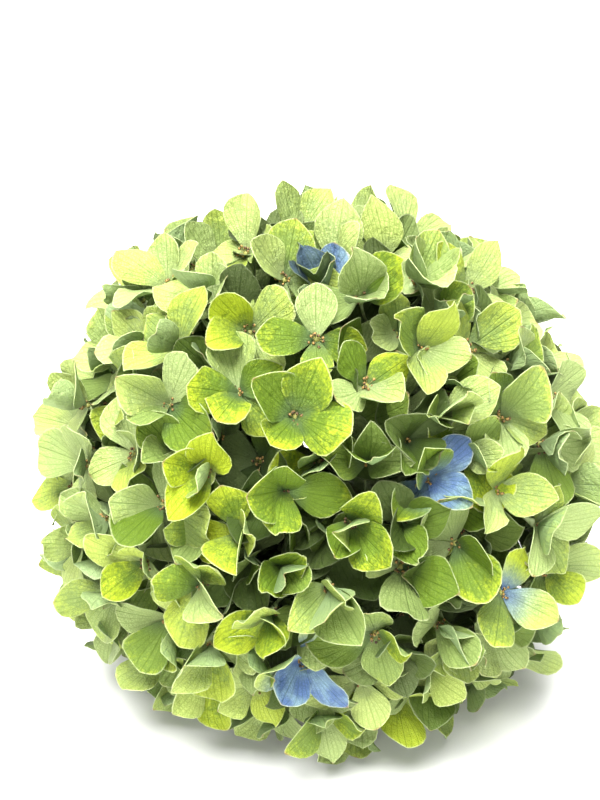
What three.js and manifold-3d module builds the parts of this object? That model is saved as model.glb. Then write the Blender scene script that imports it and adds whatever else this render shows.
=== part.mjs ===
// A cut mophead hydrangea lying on a table: a globe of small four-sepalled florets on a woody stem.
//
// Florets stand on pedicels, a handful of pedicels spring from one branch and make a cyme, and a
// handful of branches spring from the knuckle at the end of each ray of the flower head.
//
// Millimetres, +Z up, the table at Z = 0. The stem runs back along +Y to its cut end, the front of
// the globe looks towards -Y and a little upwards, and the origin is under the middle of the whole.

import * as THREE from 'three';
import { mergeVertices } from 'three/addons/utils/BufferGeometryUtils.js';
import Module from 'manifold-3d';

const wasm = await Module();
wasm.setup();

// ---- The globe -------------------------------------------------------------------------------

const GLOBE_RADIUS = 82; // middle of the globe to the floret centres, across its axis
const FRONT_DEPTH = 76; // the same along the axis, to the florets in front
const BACK_DEPTH = 62; // the same along the axis, to the florets round the stem
const BACK_EDGE = 142; // degrees from the front of the globe round to its last florets
const HEAD_TILT = 20; // degrees that the axis of the globe points above the horizontal
const PRESS_DEPTH = 20; // how far the flower's weight flattens the globe on the table
const PRESS_REACH = 50; // height over which the flattened florets give way

// ---- Florets ---------------------------------------------------------------------------------

const FLORET_COUNT = 168;
const SEPALS = 4; // in each floret
const SEPAL_LENGTH = 17;
const SEPAL_WIDTH = 15;
const SEPAL_RISE = 12; // degrees that a usual sepal stands up out of its floret's plane
const KEEL = 0.9; // how far a sepal's shoulders lie under its midrib
const NOTCH_RADIUS = 2.3; // floret centre to the notch between two sepals
const BUD_HEIGHT = 1.4; // the small true flower in the middle
const SIZE_SPREAD = 0.12; // share by which a sepal is longer or shorter than usual
const DEPTH_SPREAD = 4; // how far a floret stands in front of or behind its neighbours
const LEAN_SPREAD = 12; // degrees that a floret leans to one side
const FRONT_FACING = 0.36; // share by which side florets turn from straight outwards to the front

// ---- Stalks ----------------------------------------------------------------------------------

const CYME_COUNT = 36;
const RAY_COUNT = 8;
const CYME_NODE_SHARE = 0.72; // of the way from the middle of the globe to the florets
const RAY_NODE_SHARE = 0.42;
const HUB_DEPTH = 34; // middle of the globe back to the hub at the top of the stem
const STEM_LENGTH = 205; // from the hub straight to the cut end
const STEM_RADIUS = 4.5; // at the cut end
const STEM_TOP_RADIUS = 3.8;
const STEM_BOW = 0.45; // share of the stem's length that keeps to the axis of the globe
const LEAF_NODES = [0.38, 0.83]; // shares of the stem's length where leaf pairs were taken off
const LEAF_NODE_SWELL = 1.1;
const LEAF_NODE_SPREAD = 6; // length of a leaf node's swelling to each side
const CUT_SLANT = 22; // degrees of the slanting cut
const RAY_RADIUS = 1.8;
const BRANCH_RADIUS = 1.1;
const PEDICEL_RADIUS = 0.65;
const PEDICEL_NODE_RADIUS = 3.2; // the small swelling that a cyme's pedicels spring from

const CLEARANCE = 0.3; // between pieces that meet
const NUDGE = 0.03; // how far florets move apart where two knife edges all but touch

// ---- Colours ---------------------------------------------------------------------------------

const SEPAL_COLOUR = 0x9db65c;
const RAY_COLOUR = 0xa3b578;
const STEM_COLOUR = 0x7a7f42;

// ---- Frame and layout ------------------------------------------------------------------------

const radians = THREE.MathUtils.degToRad;
const GOLDEN_ANGLE = Math.PI * (3 - Math.sqrt(5));

// The globe's own axes: x to the right, y up its face and z out of its front.
const globeAxes = new THREE.Matrix4().makeRotationX(radians(90 - HEAD_TILT));
const front = new THREE.Vector3(0, 0, 1).transformDirection(globeAxes);

// A repeatable number from -1 to 1 for thing number i and trait number k.
function vary(i, k) {
  const wave = Math.sin(i * 12.9898 + k * 78.233) * 43758.5453;
  return 2 * (wave - Math.floor(wave)) - 1;
}

// Direction i of count, spread evenly from the front of the globe round to its back edge.
function direction(i, count) {
  const cosine = 1 - ((i + 0.5) / count) * (1 - Math.cos(radians(BACK_EDGE)));
  const sine = Math.sqrt(1 - cosine * cosine);
  const turn = i * GOLDEN_ANGLE;
  return new THREE.Vector3(sine * Math.cos(turn), sine * Math.sin(turn), cosine)
    .transformDirection(globeAxes);
}

function directions(count) {
  return Array.from({ length: count }, (_, i) => direction(i, count));
}

// The point of the globe in a direction from its middle, at a share of the way to the florets.
function globePoint(towards, share = 1) {
  const along = towards.dot(front);
  const depth = along > 0 ? FRONT_DEPTH : BACK_DEPTH;
  return towards.clone().multiplyScalar(GLOBE_RADIUS)
    .addScaledVector(front, along * (depth - GLOBE_RADIUS))
    .multiplyScalar(share);
}

// Index of the direction in a list that lies nearest to a given one.
function nearest(towards, list) {
  const closeness = list.map((other) => other.dot(towards));
  return closeness.indexOf(Math.max(...closeness));
}

// The distance from a shared point at which stalks of one radius that leave it come clear of
// each other, which is where the closest two of their directions are two radii and a gap apart.
function clearDistance(list, radius) {
  const closeness = list.flatMap((a, i) => list.slice(i + 1).map((b) => a.dot(b)));
  const halfAngle = 0.5 * Math.acos(Math.max(...closeness, -1));
  return (radius + CLEARANCE) / Math.sin(halfAngle);
}

// ---- Solids ----------------------------------------------------------------------------------

function toSolid(geometry) {
  const bare = geometry.clone();
  bare.deleteAttribute('normal');
  bare.deleteAttribute('uv');
  const merged = mergeVertices(bare, 1e-4);
  return new wasm.Manifold(new wasm.Mesh({
    numProp: 3,
    vertProperties: new Float32Array(merged.attributes.position.array),
    triVerts: new Uint32Array(merged.index.array),
  }));
}

function toGeometry(solid) {
  const mesh = solid.getMesh();
  const geometry = new THREE.BufferGeometry();
  geometry.setAttribute('position', new THREE.BufferAttribute(mesh.vertProperties, 3));
  geometry.setIndex(new THREE.BufferAttribute(mesh.triVerts, 1));
  return geometry;
}

function toMesh(name, solid, colour, roughness) {
  const geometry = toGeometry(solid);
  geometry.computeVertexNormals();
  const material = new THREE.MeshStandardMaterial({ color: colour, roughness, metalness: 0 });
  const part = new THREE.Mesh(geometry, material);
  part.name = name;
  return part;
}

// Whether every edge still has two faces when points this close together become one.
function closesAt(solid, distance) {
  const corners = mergeVertices(toGeometry(solid), distance).index.array;
  const faceCount = new Map();
  for (let i = 0; i < corners.length; i += 3) {
    const face = [corners[i], corners[i + 1], corners[i + 2]];
    if (new Set(face).size === 3) {
      face.forEach((from, k) => {
        const to = face[(k + 1) % 3];
        const edge = `${Math.min(from, to)} ${Math.max(from, to)}`;
        faceCount.set(edge, (faceCount.get(edge) ?? 0) + 1);
      });
    }
  }
  return [...faceCount.values()].every((count) => count === 2);
}

// Moves every vertex of a geometry to the place that a function gives for it.
function reshape(geometry, place) {
  const position = geometry.attributes.position;
  for (let i = 0; i < position.count; i += 1) {
    const moved = place(new THREE.Vector3().fromBufferAttribute(position, i));
    position.setXYZ(i, moved.x, moved.y, moved.z);
  }
  return geometry;
}

function knob(centre, radius, segments) {
  return new THREE.SphereGeometry(radius, segments, segments / 2)
    .translate(centre.x, centre.y, centre.z);
}

// A stalk along a curve. radiusAt gives its radius at a share of the curve's length, and slant
// tips its last ring sideways, which cuts the end at that many degrees.
function stalk(curve, radiusAt, sides, rings, slant = 0) {
  const sideways = new THREE.Vector3(1, 0, 0);
  return reshape(new THREE.CylinderGeometry(1, 1, 1, sides, rings), (vertex) => {
    const share = vertex.y + 0.5;
    const along = curve.getTangentAt(share);
    const right = sideways.clone().addScaledVector(along, -sideways.dot(along)).normalize();
    const up = new THREE.Vector3().crossVectors(right, along);
    const radius = radiusAt(share);
    const tip = share === 1 ? vertex.x * radius * Math.tan(radians(slant)) : 0;
    return curve.getPointAt(share)
      .addScaledVector(right, vertex.x * radius)
      .addScaledVector(up, vertex.z * radius)
      .addScaledVector(along, tip);
  });
}

function rod(from, to, radius, sides) {
  return stalk(new THREE.LineCurve3(from, to), () => radius, sides, 1);
}

// ---- Florets ---------------------------------------------------------------------------------

const cymeDirections = directions(CYME_COUNT);
const rayDirections = directions(RAY_COUNT);

// Where floret i stands, how it is turned and which cyme it belongs to.
function floretPlace(i) {
  const towards = direction(i, FLORET_COUNT);
  const cyme = nearest(towards, cymeDirections);
  const sideness = THREE.MathUtils.smoothstep(towards.dot(front), -0.7, 0.1);
  const lean = new THREE.Vector3(vary(i, 1), vary(i, 2), vary(i, 3))
    .multiplyScalar(Math.tan(radians(LEAN_SPREAD)));
  const facing = towards.clone().lerp(front, FRONT_FACING * sideness).add(lean).normalize();
  const centre = globePoint(towards).addScaledVector(towards, DEPTH_SPREAD * vary(i, 4));
  const right = new THREE.Vector3().crossVectors(cymeDirections[cyme], facing).normalize();
  const ahead = new THREE.Vector3().crossVectors(facing, right);
  return { number: i, cyme, centre, facing, right, ahead };
}

// A point of a floret: x and y in its plane, z out of its face.
function floretPoint(place, x, y, z) {
  return place.centre.clone()
    .addScaledVector(place.right, x)
    .addScaledVector(place.ahead, y)
    .addScaledVector(place.facing, z);
}

// The four outline points of one sepal: the notch before it, a shoulder, its tip and the other
// shoulder. The notch after it belongs to the next sepal.
function sepalOutline(place, sepal) {
  const number = place.number * SEPALS + sepal;
  const size = 1 + SIZE_SPREAD * vary(number, 6);
  const rise = Math.tan(radians(SEPAL_RISE * (1 + vary(number, 7))));
  const turn = Math.PI / 4 + 0.3 * vary(place.number, 5) + (sepal * 2 * Math.PI) / SEPALS;
  const notchTurn = Math.PI / SEPALS;
  const length = SEPAL_LENGTH * size;
  const shoulder = 0.56 * length;
  const halfWidth = 0.5 * SEPAL_WIDTH * size;
  const corners = [
    [NOTCH_RADIUS * Math.cos(notchTurn), -NOTCH_RADIUS * Math.sin(notchTurn), -KEEL / 2],
    [shoulder, -halfWidth, shoulder * rise - KEEL],
    [length, 0, length * rise],
    [shoulder, halfWidth, shoulder * rise - KEEL],
  ];
  return corners.map(([x, y, z]) => floretPoint(
    place,
    x * Math.cos(turn) - y * Math.sin(turn),
    x * Math.sin(turn) + y * Math.cos(turn),
    z,
  ));
}

// One floret with its pedicel as one closed skin: a fan of faces from the bud out over the
// sepals, three faces under each sepal, and the pedicel from the notches down to its foot.
function floret(place, foot) {
  const outline = [];
  const footRing = [];
  for (let sepal = 0; sepal < SEPALS; sepal += 1) {
    outline.push(...sepalOutline(place, sepal));
    const turn = (sepal * 2 * Math.PI) / SEPALS;
    footRing.push(foot.clone()
      .addScaledVector(place.right, PEDICEL_RADIUS * Math.cos(turn))
      .addScaledVector(place.ahead, PEDICEL_RADIUS * Math.sin(turn)));
  }
  const bud = 0;
  const firstFoot = 1 + outline.length;
  const faces = [];
  for (let sepal = 0; sepal < SEPALS; sepal += 1) {
    const next = (sepal + 1) % SEPALS;
    const [notch, left, tip, right] = [1, 2, 3, 4].map((corner) => 4 * sepal + corner);
    const nextNotch = 4 * next + 1;
    faces.push([bud, notch, left], [bud, left, tip], [bud, tip, right], [bud, right, nextNotch]);
    faces.push([notch, nextNotch, right], [notch, right, left], [left, right, tip]);
    faces.push([notch, firstFoot + sepal, firstFoot + next]);
    faces.push([notch, firstFoot + next, nextNotch]);
  }
  for (let corner = 1; corner < SEPALS - 1; corner += 1) {
    faces.push([firstFoot, firstFoot + corner + 1, firstFoot + corner]);
  }
  const points = [floretPoint(place, 0, 0, BUD_HEIGHT), ...outline, ...footRing];
  const geometry = new THREE.BufferGeometry().setFromPoints(points);
  geometry.setIndex(faces.flat());
  return geometry;
}

// ---- The globe on the table ------------------------------------------------------------------

const cymeNodes = cymeDirections.map((towards) => globePoint(towards, CYME_NODE_SHARE));
const rayNodes = rayDirections.map((towards) => globePoint(towards, RAY_NODE_SHARE));
const hub = front.clone().multiplyScalar(-HUB_DEPTH);
const places = Array.from({ length: FLORET_COUNT }, (_, i) => floretPlace(i));
const florets = places.map((place) => floret(place, cymeNodes[place.cyme]));

function lowestPoint(geometry) {
  return new THREE.Box3().setFromBufferAttribute(geometry.attributes.position).min.z;
}

const looseBottom = Math.min(...florets.map(lowestPoint));
const table = looseBottom + PRESS_DEPTH;

// Where the table pushes a point of the globe to. The lowest point ends on the table, and what
// lies a whole reach above it stays where it is.
function press(point) {
  const give = Math.max(0, (looseBottom + PRESS_REACH - point.z) / PRESS_REACH);
  return point.clone().setZ(point.z + PRESS_DEPTH * give * give);
}

// ---- Pieces ----------------------------------------------------------------------------------

const rayOfCyme = cymeDirections.map((towards) => nearest(towards, rayDirections));

function branchDirections(ray) {
  return cymeNodes
    .filter((_, cyme) => rayOfCyme[cyme] === ray)
    .map((node) => node.clone().sub(rayNodes[ray]).normalize());
}

const knuckleRadius = Math.max(
  RAY_RADIUS,
  ...rayDirections.map((_, ray) => clearDistance(branchDirections(ray), BRANCH_RADIUS)),
);
const rayStarts = rayNodes.map((node) => node.clone().sub(hub).normalize());
const hubRadius = Math.max(STEM_TOP_RADIUS, clearDistance(rayStarts, RAY_RADIUS));

// Cuts a cyme's florets back to its own share of the globe, half a gap inside the planes that
// lie midway to the cymes round it.
function keepToOwnShare(solid, cyme) {
  const own = cymeDirections[cyme];
  return cymeDirections
    .filter((other, i) => i !== cyme && own.dot(other) > 0)
    .reduce((kept, other) => {
      const inwards = own.clone().sub(other).normalize();
      return kept.trimByPlane(inwards.toArray(), CLEARANCE);
    }, solid);
}

function largestBody(solid) {
  return solid.decompose().reduce((a, b) => (a.volume() > b.volume() ? a : b));
}

// One cyme: its florets with their pedicels, the node that these spring from, and its branch.
// Each floret stands one more nudge further out than the one before it.
function nudgedCyme(cyme, nudge) {
  const node = cymeNodes[cyme];
  let solid = toSolid(reshape(knob(node, PEDICEL_NODE_RADIUS, 4), press));
  places.filter((place) => place.cyme === cyme).forEach((place, order) => {
    const shift = place.facing.clone().multiplyScalar(nudge * order);
    const flower = florets[place.number].clone().translate(shift.x, shift.y, shift.z);
    solid = solid.add(toSolid(reshape(flower, press)));
  });
  solid = largestBody(keepToOwnShare(solid, cyme));
  const start = rayNodes[rayOfCyme[cyme]];
  const along = node.clone().sub(start).normalize();
  const foot = start.clone().addScaledVector(along, knuckleRadius + CLEARANCE);
  return solid.add(toSolid(rod(foot, press(node), BRANCH_RADIUS, 6)));
}

// A cyme with the least nudge that keeps the knife edges of its sepals from all but touching.
function cymeSolid(cyme) {
  let nudge = 0;
  let solid = nudgedCyme(cyme, nudge);
  while (![1e-4, 1e-3, 2e-3].every((distance) => closesAt(solid, distance))) {
    nudge += NUDGE;
    solid = nudgedCyme(cyme, nudge);
  }
  return solid;
}

// One ray of the head: a stalk from the hub that ends in the knuckle its branches spring from.
function raySolid(ray) {
  const foot = hub.clone().addScaledVector(rayStarts[ray], hubRadius + CLEARANCE);
  const stem = toSolid(rod(foot, rayNodes[ray], RAY_RADIUS, 8));
  return stem.add(toSolid(knob(rayNodes[ray], knuckleRadius, 8)));
}

function stemRadius(share) {
  const swell = LEAF_NODES.reduce((sum, node) => {
    const away = ((share - node) * STEM_LENGTH) / LEAF_NODE_SPREAD;
    return sum + LEAF_NODE_SWELL * Math.exp(-away * away);
  }, 0);
  return THREE.MathUtils.lerp(STEM_TOP_RADIUS, STEM_RADIUS, share) + swell;
}

// The stem from the hub down to its cut end, which rests on the table.
function stemSolid() {
  const drop = hub.z - table - STEM_RADIUS;
  const end = hub.clone()
    .add(new THREE.Vector3(0, Math.sqrt(STEM_LENGTH * STEM_LENGTH - drop * drop), -drop));
  const bend = hub.clone().addScaledVector(front, -STEM_BOW * STEM_LENGTH);
  const curve = new THREE.QuadraticBezierCurve3(hub, bend, end);
  const stem = toSolid(stalk(curve, stemRadius, 10, 24, CUT_SLANT));
  return stem.add(toSolid(knob(hub, hubRadius, 10)));
}

// ---- Assembly --------------------------------------------------------------------------------

const group = new THREE.Group();

function numbered(name, index) {
  return `${name}_${String(index + 1).padStart(2, '0')}`;
}

group.add(toMesh('main_stem', stemSolid(), STEM_COLOUR, 0.7));
for (let ray = 0; ray < RAY_COUNT; ray += 1) {
  group.add(toMesh(numbered('ray', ray), raySolid(ray), RAY_COLOUR, 0.6));
}
for (let cyme = 0; cyme < CYME_COUNT; cyme += 1) {
  group.add(toMesh(numbered('cyme', cyme), cymeSolid(cyme), SEPAL_COLOUR, 0.7));
}

const extent = new THREE.Box3().setFromObject(group);
const middle = extent.getCenter(new THREE.Vector3());
group.position.set(-middle.x, -middle.y, -extent.min.z);

export default group;
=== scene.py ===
"""A cut mophead hydrangea lying on a pale table, built in the frame of its solid model.

The florets stand on their pedicels round a globe, in three layers. Most have four sepals, which are
thin curved sheets, and each has a tiny true flower in its middle. Pedicels, branches and rays carry
them on a woody stem, which runs back to a slanting cut.
"""

import logging
import math
from dataclasses import dataclass, field
from enum import Enum

import bmesh
import bpy
import numpy as np
from bmesh.types import BMEdge, BMesh, BMFace, BMVert
from bpy.types import ID, Material, Mesh, Node, NodeSocket, Object
from mathutils import Matrix, Vector, noise


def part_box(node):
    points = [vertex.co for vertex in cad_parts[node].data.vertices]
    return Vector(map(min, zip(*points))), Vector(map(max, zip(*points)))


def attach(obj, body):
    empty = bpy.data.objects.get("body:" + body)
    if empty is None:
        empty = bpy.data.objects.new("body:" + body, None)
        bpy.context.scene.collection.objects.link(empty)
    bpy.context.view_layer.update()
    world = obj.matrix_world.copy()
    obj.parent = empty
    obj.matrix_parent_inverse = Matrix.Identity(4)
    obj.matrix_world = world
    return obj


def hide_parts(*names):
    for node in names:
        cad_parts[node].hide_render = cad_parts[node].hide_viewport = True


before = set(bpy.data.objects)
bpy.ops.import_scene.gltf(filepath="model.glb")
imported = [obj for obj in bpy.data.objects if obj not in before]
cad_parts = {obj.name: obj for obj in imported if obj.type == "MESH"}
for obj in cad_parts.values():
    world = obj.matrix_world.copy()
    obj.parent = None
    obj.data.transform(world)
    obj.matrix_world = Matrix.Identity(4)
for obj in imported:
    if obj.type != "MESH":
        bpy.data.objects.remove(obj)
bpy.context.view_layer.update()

LOG = logging.getLogger("hydrangea")

GOLDEN_ANGLE = math.pi * (3 - math.sqrt(5))
MM = 0.001
KNUCKLE_RADIUS = 3.661 * MM  # where a ray's branches part
CLEARANCE = 0.3 * MM  # between pieces that meet


def vary(number: float, trait: int) -> float:
    """A repeatable number from -1 to 1.

    Args:
        number: The number of the floret, sepal or stalk.
        trait: Which of its traits is asked for.

    Returns:
        The same number for the same two arguments.
    """
    wave = math.sin(number * 12.9898 + trait * 78.233) * 43758.5453
    return 2 * (wave - math.floor(wave)) - 1


def unit(vector: np.ndarray) -> np.ndarray:
    """The vector at a length of one."""
    return vector / np.linalg.norm(vector)


def nearest(directions: np.ndarray, towards: np.ndarray) -> int:
    """Which of some directions lies closest to another."""
    return int(np.argmax(directions @ towards))


def smooth_step(value: float, low: float, high: float) -> float:
    """A smooth rise from 0 at low to 1 at high."""
    share = min(max((value - low) / (high - low), 0.0), 1.0)
    return share * share * (3 - 2 * share)


# ---- The globe and its florets ----


@dataclass(frozen=True)
class Globe:
    """The flower head's shape, the same as the solid model's, in metres and degrees."""

    radius: float = 82 * MM
    front_depth: float = 76 * MM
    back_depth: float = 62 * MM
    back_edge: float = 142
    tilt: float = 20
    press_depth: float = 20 * MM
    press_reach: float = 50 * MM
    hub_depth: float = 34 * MM
    hub_radius: float = 7.523 * MM
    hub_top: float = 6.805 * MM
    most_give: float = 1.25
    centre: tuple[float, float, float] = field(init=False)

    def __post_init__(self) -> None:
        """Finds the middle of the globe from the hub at the top of the stem."""
        low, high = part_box("main_stem")
        hub = np.array([(low.x + high.x) / 2, low.y + self.hub_radius, high.z - self.hub_top])
        object.__setattr__(self, "centre", tuple(hub + self.hub_depth * self.front))

    @property
    def axes(self) -> np.ndarray:
        """The globe's own x to the right, y up its face and z out of its front, as columns."""
        lift = math.radians(90 - self.tilt)
        return np.array(Matrix.Rotation(lift, 3, "X"))

    @property
    def front(self) -> np.ndarray:
        """The direction out of the front of the globe."""
        return self.axes[:, 2]

    @property
    def hub(self) -> np.ndarray:
        """The top of the stem, where the rays part."""
        return np.array(self.centre) - self.hub_depth * self.front

    def directions(self, count: int, back_edge: float) -> np.ndarray:
        """Directions spread evenly from the front of the globe to an edge at its back.

        Args:
            count: How many there are.
            back_edge: The angle of the edge from the front, in degrees.

        Returns:
            One row a direction, of length one, in the flower's frame.
        """
        index = np.arange(count)
        cosine = 1 - (index + 0.5) / count * (1 - math.cos(math.radians(back_edge)))
        sine = np.sqrt(1 - cosine * cosine)
        turn = index * GOLDEN_ANGLE
        own = np.column_stack([sine * np.cos(turn), sine * np.sin(turn), cosine])
        return own @ self.axes.T

    def seen_direction(self, polar: float, azimuth: float) -> np.ndarray:
        """The direction at an angle from the front, and an angle round it, in degrees."""
        away, turn = math.radians(polar), math.radians(azimuth)
        own = [math.sin(away) * math.cos(turn), math.sin(away) * math.sin(turn), math.cos(away)]
        return self.axes @ np.array(own)

    def point(self, towards: np.ndarray, share: float = 1.0) -> np.ndarray:
        """The point in a direction, at a share of the way to the florets, before pressing."""
        along = float(towards @ self.front)
        depth = self.front_depth if along > 0 else self.back_depth
        offset = towards * self.radius + self.front * along * (depth - self.radius)
        return np.array(self.centre) + offset * share

    def frontness(self, point: np.ndarray) -> float:
        """How far round to the front a point lies, from -1 at the back to 1."""
        return float(unit(point - np.array(self.centre)) @ self.front)

    def press(self, points: np.ndarray, clearance: float = 0.15 * MM) -> np.ndarray:
        """Moves points to where the table pushes them.

        Args:
            points: Rows of x, y and z.
            clearance: The lowest that a point may end.

        Returns:
            The rows with their heights changed.
        """
        pressed = np.array(points, float)
        height = pressed[..., 2]
        give = np.maximum(0.0, (self.press_reach - self.press_depth - height) / self.press_reach)
        give = np.minimum(give, self.most_give)
        pressed[..., 2] = np.maximum(height + self.press_depth * give * give, clearance)
        return pressed


@dataclass(frozen=True)
class Layer:
    """One layer of florets: how many, how far out and round, and how its sepals differ."""

    count: int
    share: float
    back_edge: float
    size: float
    upright: float
    # How ripe the layer's sepals are; the low numbers of the inner and deep layers also paint shade on
    # them.
    ripeness_and_shade: float


@dataclass(frozen=True)
class Floret:
    """Where one floret stands and how it is turned."""

    number: int
    layer: Layer
    cyme: int
    centre: np.ndarray
    facing: np.ndarray
    right: np.ndarray
    ahead: np.ndarray
    sepals: int
    blue: float

    @property
    def place(self) -> np.ndarray:
        """The floret's axes as columns: x and y in its plane and z out of its face."""
        return np.column_stack([self.right, self.ahead, self.facing])

    def key(self, order: int) -> int:
        """The number of one of its sepals, which sets that sepal's chance traits."""
        return self.number * 7 + order


@dataclass
class FlowerHead:
    """All the florets, and the points that their stalks spring from."""

    globe: Globe
    # The inner and deep layers have low ripeness numbers, which paint shade on their sepals.
    layers: tuple[Layer, ...] = (
        Layer(168, 1.0, 142, 1.0, 0, 0.0),
        Layer(116, 0.925, 142, 0.94, 16, -0.6),
        Layer(150, 0.80, 164, 1.08, -2, -1.0),
    )
    cyme_count: int = 36
    ray_count: int = 8
    cyme_node_share: float = 0.72
    ray_node_share: float = 0.42
    depth_spread: float = 4 * MM
    lean_spread: float = 12
    front_facing: float = 0.36
    five_sepals_above: float = 0.86
    three_sepals_below: float = -0.95
    blue_spots: tuple[tuple[int, float, float, float], ...] = (
        (1, 54, 87, 1.0),
        (0, 29, -90, 1.0),
        (0, 24, 14, 0.85),
        (0, 66, -30, 0.7),
        (0, 74, -38, 0.9),
        (0, 45, -13, 0.32),
        (0, 95, 140, 0.8),
        (0, 118, 20, 0.9),
        (0, 100, -140, 0.6),
    )
    florets: list[Floret] = field(init=False)

    def __post_init__(self) -> None:
        """Lays out the cymes, the rays and every floret."""
        globe = self.globe
        self.cyme_directions = globe.directions(self.cyme_count, globe.back_edge)
        self.ray_directions = globe.directions(self.ray_count, globe.back_edge)
        self.cyme_nodes = [globe.point(d, self.cyme_node_share) for d in self.cyme_directions]
        self.ray_nodes = [globe.point(d, self.ray_node_share) for d in self.ray_directions]
        outer = self.layers[0]
        taken = globe.directions(outer.count, outer.back_edge)
        self.florets = self._layer_florets(0, taken, 0)
        for order, layer in enumerate(self.layers[1:], start=1):
            gaps = self._gap_directions(layer, taken)
            self.florets += self._layer_florets(order, gaps, len(taken))
            taken = np.concatenate([taken, gaps])

    def _gap_directions(self, layer: Layer, taken: np.ndarray) -> np.ndarray:
        """The directions of a layer's florets, each as far from all the others as it can be."""
        choices = self.globe.directions(12 * layer.count, layer.back_edge)
        closeness = (choices @ taken.T).max(axis=1)
        gaps = []
        for _ in range(layer.count):
            gaps.append(choices[int(np.argmin(closeness))])
            closeness = np.maximum(closeness, choices @ gaps[-1])
        return np.array(gaps)

    def _layer_florets(self, order: int, directions: np.ndarray, first: int) -> list[Floret]:
        """The florets of one layer.

        Args:
            order: Which layer.
            directions: Where they stand, as directions from the middle of the globe.
            first: The number of the first of them.

        Returns:
            One floret a direction.
        """
        blues = np.zeros(len(directions))
        for layer, polar, azimuth, amount in self.blue_spots:
            if layer == order:
                towards = self.globe.seen_direction(polar, azimuth)
                blues[nearest(directions, towards)] = amount
        pairs = enumerate(zip(directions, blues))
        return [self._floret(first + i, self.layers[order], d, blue) for i, (d, blue) in pairs]

    def _floret(self, number: int, layer: Layer, towards: np.ndarray, blue: float) -> Floret:
        """Places one floret.

        Args:
            number: Its number, which sets its chance traits.
            layer: The layer that it belongs to.
            towards: Its direction from the middle of the globe.
            blue: How blue it is.

        Returns:
            The floret.
        """
        globe = self.globe
        cyme = nearest(self.cyme_directions, towards)
        turned = self.front_facing * smooth_step(float(towards @ globe.front), -0.7, 0.1)
        lean = np.array([vary(number, k) for k in (1, 2, 3)])
        lean *= math.tan(math.radians(self.lean_spread))
        facing = unit(towards * (1 - turned) + globe.front * turned + lean)
        centre = globe.point(towards, layer.share)
        centre = centre + towards * self.depth_spread * vary(number, 4)
        right = unit(np.cross(self.cyme_directions[cyme], facing))
        ahead = np.cross(facing, right)
        chance = vary(number, 9)
        sepals = 5 if chance > self.five_sepals_above else 3 if chance < self.three_sepals_below else 4
        return Floret(number, layer, cyme, centre, facing, right, ahead, sepals, blue)

    def of_cyme(self, cyme: int) -> list[Floret]:
        """The florets of one cyme."""
        return [floret for floret in self.florets if floret.cyme == cyme]

    def ray_of(self, cyme: int) -> int:
        """The ray that carries a cyme."""
        return nearest(self.ray_directions, self.cyme_directions[cyme])


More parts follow.
